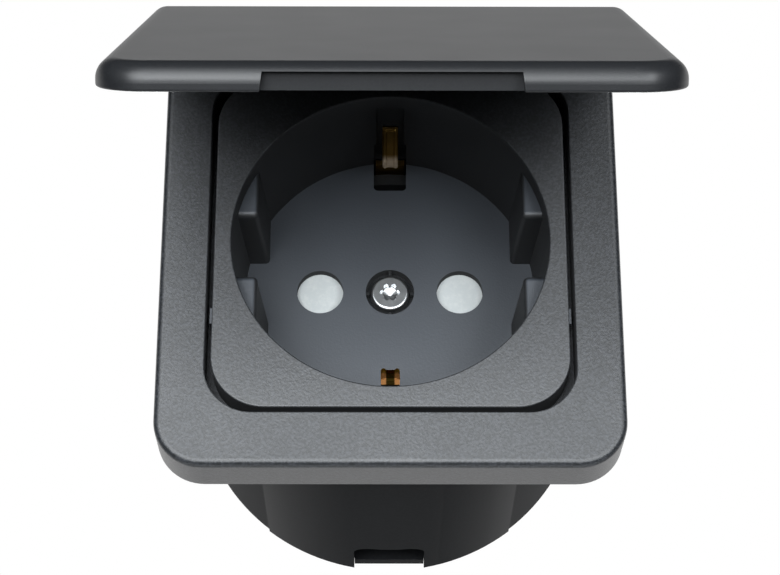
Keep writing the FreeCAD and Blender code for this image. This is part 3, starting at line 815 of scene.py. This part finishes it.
@dataclass
class SubAssembly:
    """A group of CAD nodes that take their finishes together."""

    shop: Workshop
    ejector_r_mm: float = 1.5
    ejector_ring_mm: float = 0.045

    def finishes(self) -> Mapping[str, Finish]:
        """The CAD nodes of the group with their finishes."""
        raise NotImplementedError

    def details(self) -> None:
        """Build the pieces that the group adds to its CAD nodes."""

    def build(self) -> None:
        """Dress the nodes and add the group's own pieces."""
        for node, finish in self.finishes().items():
            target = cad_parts[node]
            target.data.materials.clear()
            target.data.materials.append(self.shop.material(finish))
            LOG.info("%s takes %s", node, finish.name)
        self.details()

    def attach(self, piece: bpy.types.Object, body: Body, slot: Slot) -> None:
        """Let a piece ride on its body."""
        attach(piece, body.value)

    def rings(
        self,
        name: str,
        spots: Sequence[Vector],
        facing: Vector,
        finish: Finish,
        body: Body,
        slot: Slot,
    ) -> None:
        """Grow the ring that each ejector pin leaves round its end.

        Args:
            name: The piece's name.
            spots: Ring centres in metres.
            facing: The way that the moulded face looks.
            finish: What the face is made of.
            body: The body that carries the face.
            slot: The material slot of the face; not used.
        """
        side = facing.orthogonal().normalized()
        other = facing.cross(side).normalized()
        points, faces = [], []
        for spot in spots:
            start = len(points)
            points += [spot + (side * a + other * b) * MM for a, b in GUIDE_CORNERS]
            faces.append(tuple(range(start, len(points))))
        guide = bpy.data.meshes.new(name + "_guide")
        guide.from_pydata(points, [], faces)
        sizes = {"Radius": self.ejector_r_mm * MM, "Height": self.ejector_ring_mm * MM}
        made = grow(name, guide, Grower.RING, sizes, self.shop.material(finish))
        self.attach(made, body, slot)


@dataclass
class Plate(SubAssembly):
    """The frame with its hinge pins and the screws behind the insert."""

    def finishes(self) -> Mapping[str, Finish]:
        """The frame, its pins and its screws."""
        return {
            "frame": FRAME_ABS,
            "hinge_pin_left": HINGE_STEEL,
            "hinge_pin_right": HINGE_STEEL,
            **{f"cup_screw_{number}": ZINC_SCREW for number in range(1, 5)},
        }


@dataclass
class Lid(SubAssembly):
    """The moulded lid, with the marks of its ejector pins inside."""

    hinge_y_mm: float = -4.05
    hinge_z_mm: float = 28.85
    open_deg: float = 53.8
    inside_y_mm: float = -8.45
    mark_x_mm: Sequence[float] = (-25.0, 0.0, 25.0)
    mark_z_mm: Sequence[float] = (-26.0, 1.0, 21.0)

    def finishes(self) -> Mapping[str, Finish]:
        """The lid."""
        return {"lid": LID_ABS}

    def details(self) -> None:
        """Add the marks, set out on the closed lid and then opened with it."""
        hinge = Vector((0, self.hinge_y_mm, self.hinge_z_mm))
        swing = Matrix.Rotation(math.radians(self.open_deg), 3, Vector((-1, 0, 0)))
        closed = [Vector((x, self.inside_y_mm, z)) for x in self.mark_x_mm for z in self.mark_z_mm]
        spots = [(hinge + swing @ (spot - hinge)) * MM for spot in closed]
        self.rings("lid_marks", spots, swing @ Vector((0, 1, 0)), LID_ABS, Body.LID, Slot.LID)


@dataclass(frozen=True)
class ClipRail:
    """One clip's raised rail, sunk in the strip's face.

    Its path is half of the line, from behind the bow to beside the tip's middle. The other
    half mirrors it.
    """

    name: str
    r_mm: float
    path_mm: Sequence[tuple[float, float, float]]
    bend_mm: float = 0.5


@dataclass
class Well(SubAssembly):
    """The socket face with its screw, shutter and contacts."""

    rails: Sequence[ClipRail] = (
        ClipRail(
            "upper_clip_rail",
            0.34,
            (
                (0.72, 3.6, 15.625),
                (0.72, 2.289, 14.9),
                (0.72, 1.192, 14.9),
                (0.72, -2.3, 18.062),
            ),
        ),
        ClipRail(
            "lower_clip_rail",
            0.36,
            (
                (0.88, 3.6, -16.04),
                (0.88, 2.285, -15.4),
                (0.88, 1.199, -15.4),
                (0.88, -2.28, -18.08),
            ),
        ),
    )

    def finishes(self) -> Mapping[str, Finish]:
        """The insert and what it carries."""
        return {
            "socket_insert": INSERT_ABS,
            "centre_screw": ZINC_SCREW,
            "shutter": SHUTTER_PBT,
            "shutter_spring": HINGE_STEEL,
            "earth_strap": CONTACT_BRASS,
            "contact_base": BASE_RESIN,
            **{f"{pole}_contact": CONTACT_BRASS for pole in ("live", "neutral")},
            **{f"{pole}_terminal": CONTACT_BRASS for pole in ("live", "neutral", "earth")},
            **{f"{pole}_terminal_screw": ZINC_SCREW for pole in ("live", "neutral", "earth")},
        }

    def details(self) -> None:
        """Add the raised rails that stiffen each earth clip along its sides and round its tip."""
        for rail in self.rails:
            near = [Vector(point) * MM for point in rail.path_mm]
            far = [Vector((-point.x, point.y, point.z)) for point in reversed(near)]
            points = near + far
            guide = bpy.data.meshes.new(rail.name + "_guide")
            guide.from_pydata(points, [(i, i + 1) for i in range(len(points) - 1)], [])
            sizes = {"Radius": rail.r_mm * MM, "Bend": rail.bend_mm * MM}
            made = grow(rail.name, guide, Grower.RAIL, sizes, self.shop.material(CONTACT_BRASS))
            self.attach(made, Body.SOCKET, Slot.BRASS)


@dataclass
class Cup(SubAssembly):
    """The round cup with its cover, and the ejector marks on the cover."""

    rear_y_mm: float = 46.3
    mark_ring_mm: float = 17.5
    mark_count: int = 6

    def finishes(self) -> Mapping[str, Finish]:
        """The cup, its cover and the cover's screws."""
        return {
            "rear_cup": CUP_POLYAMIDE,
            "rear_cover": COVER_POLYAMIDE,
            "cover_screw_left": ZINC_SCREW,
            "cover_screw_right": ZINC_SCREW,
        }

    def details(self) -> None:
        """Add the marks, evenly round the cover."""
        steps = [2 * math.pi * (i + 0.5) / self.mark_count for i in range(self.mark_count)]
        rear, reach = self.rear_y_mm, self.mark_ring_mm
        spots = [Vector((reach * math.cos(a), rear, reach * math.sin(a))) * MM for a in steps]
        facing = Vector((0, 1, 0))
        self.rings("cover_marks", spots, facing, COVER_POLYAMIDE, Body.SOCKET, Slot.CUP)


@dataclass
class Softbox:
    """One panel of soft light, by its bearing from the socket."""

    name: str
    azimuth: float
    elevation: float
    watts: float
    reach_m: float = 1.0
    size_m: tuple[float, float] = (0.36, 0.34)
    colour: str = "#f8fcff"
    aim_m: tuple[float, float, float] = (0.0, 0.0, -0.005)

    def build(self) -> None:
        """Hang the lamp and turn it to its aim."""
        side, rise = math.radians(self.azimuth), math.radians(self.elevation)
        flat, height = self.reach_m * math.cos(rise), self.reach_m * math.sin(rise)
        place = Vector((flat * math.sin(side), -flat * math.cos(side), height))
        lamp = bpy.data.lights.new(self.name, "AREA")
        lamp.shape = "RECTANGLE"
        lamp.size, lamp.size_y = self.size_m
        lamp.energy = self.watts
        lamp.color = linear(self.colour)[:3]
        made = bpy.data.objects.new(self.name, lamp)
        bpy.context.scene.collection.objects.link(made)
        made.location = place
        made.rotation_euler = (Vector(self.aim_m) - place).to_track_quat("-Z", "Y").to_euler()


@dataclass
class Studio:
    """The white room: floor, backdrop, lamps and the sky's fill."""

    floor_z_m: float = -0.8
    # The floor stops just in front of the socket. If it came further forward, its white would
    # show in the plate's lower edge, which is dark.
    floor_front_y_m: float = -0.1
    backdrop_y_m: float = 1.3
    half_width_m: float = 3.0
    backdrop_top_m: float = 1.7
    paper_colours: tuple[str, str] = ("#f4f4f4", "#fafafa")
    paper_clouds_per_m: float = 60.0
    sky: float = 0.03
    sky_colour: str = "#f2f5fa"
    # The panels in front make one wide soft light, brightest low in the middle. The one behind is
    # for views of the back, and stands where its light stays off what the camera sees.
    boxes: Sequence[Softbox] = (
        Softbox("left_low_panel", -28, -12, 2.8),
        Softbox("left_high_panel", -28, 8, 2.7),
        Softbox("middle_low_panel", -9, -12, 6.4),
        Softbox("middle_high_panel", -9, 8, 4.3),
        Softbox("top_panel", -9, 28, 1.7),
        Softbox("inner_right_panel", 9, -12, 1.7),
        Softbox("right_low_panel", 28, -12, 4.3),
        Softbox("right_high_panel", 28, 8, 3.8),
        Softbox("back_panel", 180, 14, 5.0),
    )

    def sheet(self, name: str, corners: Sequence[tuple[float, float, float]]) -> bpy.types.Object:
        """Make one flat stage sheet.

        Args:
            name: The sheet's name.
            corners: Its four corners in order.

        Returns:
            The sheet.
        """
        mesh = bpy.data.meshes.new(name)
        mesh.from_pydata([Vector(c) for c in corners], [], [(0, 1, 2, 3)])
        made = bpy.data.objects.new(name, mesh)
        bpy.context.scene.collection.objects.link(made)
        return made

    def white_to(self, tree: Tree, rays: Sequence[Ray]) -> Signal:
        """Find which rays see plain white.

        Args:
            tree: The tree that asks.
            rays: The kinds of ray that do.

        Returns:
            A signal that is 1 for those rays and 0 for others.
        """
        path = add(tree, "ShaderNodeLightPath")
        found = path.outputs[rays[0].value]
        for ray in rays[1:]:
            either = {0: found, 1: path.outputs[ray.value]}
            found = add(tree, "ShaderNodeMath", {"operation": "MAXIMUM"}, either).outputs[0]
        return found

    def paper(self, rays: Sequence[Ray]) -> bpy.types.Material:
        """Build the matt white paper of the floor and backdrop.

        Args:
            rays: The kinds of ray that see it plain white, with no shading.

        Returns:
            The material.
        """
        made = bpy.data.materials.new("Paper, matt white")
        made.use_nodes = True
        tree = made.node_tree
        tree.nodes.clear()
        place = add(tree, "ShaderNodeTexCoord").outputs["Object"]
        pulp = {"Scale": self.paper_clouds_per_m, "Detail": 3.0}
        cloud = add(tree, "ShaderNodeTexNoise", pulp, {"Vector": place}).outputs[0]
        dark, light = (linear(colour) for colour in self.paper_colours)
        colours = {"data_type": "RGBA", MIX_A: dark, MIX_B: light}
        tone = add(tree, "ShaderNodeMix", colours, {0: cloud}).outputs[MIX_RESULT]
        surface = add(tree, "ShaderNodeBsdfDiffuse", links={"Color": tone}).outputs[0]
        if rays:
            lit = {"Color": WHITE, "Strength": 1.0}
            glow = add(tree, "ShaderNodeEmission", lit).outputs[0]
            links = {0: self.white_to(tree, rays), 1: surface, 2: glow}
            surface = add(tree, "ShaderNodeMixShader", links=links).outputs[0]
        add(tree, "ShaderNodeOutputMaterial", links={"Surface": surface})
        return made

    def room(self) -> None:
        """Set up the floor, which keeps the shadow, and the plain white backdrop."""
        w, low, top = self.half_width_m, self.floor_z_m, self.backdrop_top_m
        front, back = self.floor_front_y_m, self.backdrop_y_m
        ground = [(-w, front, low), (w, front, low), (w, back, low), (-w, back, low)]
        upright = [(-w, back, low), (w, back, low), (w, back, top), (-w, back, top)]
        floor = self.sheet("floor", ground)
        wall = self.sheet("backdrop", upright)
        floor.data.materials.append(self.paper(()))
        wall.data.materials.append(self.paper(tuple(Ray)))

    def surroundings(self) -> None:
        """Set up the world past the sheets, which the camera alone sees as white.

        Gloss sees white on the backdrop. If it saw white all round, in front too, that would be
        more light on the object and would wash out its dark plastic.
        """
        world = bpy.data.worlds.new("Studio sky")
        bpy.context.scene.world = world
        world.use_nodes = True
        tree = world.node_tree
        tree.nodes.clear()
        dim = {"Color": linear(self.sky_colour), "Strength": self.sky}
        fill = add(tree, "ShaderNodeBackground", dim).outputs[0]
        lit = {"Color": WHITE, "Strength": 1.0}
        white = add(tree, "ShaderNodeBackground", lit).outputs[0]
        links = {0: self.white_to(tree, (Ray.CAMERA,)), 1: fill, 2: white}
        pick = add(tree, "ShaderNodeMixShader", links=links).outputs[0]
        add(tree, "ShaderNodeOutputWorld", links={"Surface": pick})

    def build(self) -> None:
        """Set up the room and its light."""
        self.room()
        for box in self.boxes:
            box.build()
        self.surroundings()
        bpy.context.scene.view_settings.view_transform = "Standard"


@dataclass
class Viewpoint:
    """The camera, where the photograph was taken from. Its angles are in radians."""

    place_mm: tuple[float, float, float] = (-1.115, -268.801, -123.246)
    pitch: float = 0.417124
    yaw: float = 0.004022
    roll: float = -0.000286
    focal_px: float = 2241.63
    sensor_mm: float = 36.0
    clip_m: tuple[float, float] = (0.01, 20.0)

    def build(self) -> None:
        """Make the camera and set it as the scene's own."""
        forward, rise = math.cos(self.pitch), math.sin(self.pitch)
        ahead = Vector((math.sin(self.yaw) * forward, math.cos(self.yaw) * forward, rise))
        level = Vector((math.cos(self.yaw), -math.sin(self.yaw), 0.0))
        top = level.cross(ahead)
        right = math.cos(self.roll) * level + math.sin(self.roll) * top
        up = math.cos(self.roll) * top - math.sin(self.roll) * level
        lens = bpy.data.cameras.new("camera")
        lens.sensor_width = self.sensor_mm
        lens.lens = self.focal_px / IMAGE_WIDTH_PX * self.sensor_mm
        lens.clip_start, lens.clip_end = self.clip_m
        made = bpy.data.objects.new("camera", lens)
        bpy.context.scene.collection.objects.link(made)
        turn = Matrix((right, up, -ahead)).transposed().to_4x4()
        made.matrix_world = Matrix.Translation(Vector(self.place_mm) * MM) @ turn
        bpy.context.scene.camera = made


def main() -> None:
    """Dress the pieces, light them and set up the camera."""
    logging.basicConfig(level=logging.INFO, format="%(name)s: %(message)s")
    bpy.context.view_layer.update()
    shop = Workshop()
    for group in (Plate(shop), Lid(shop), Well(shop), Cup(shop)):
        group.build()
    Studio().build()
    Viewpoint().build()


if __name__ == "__main__":
    main()
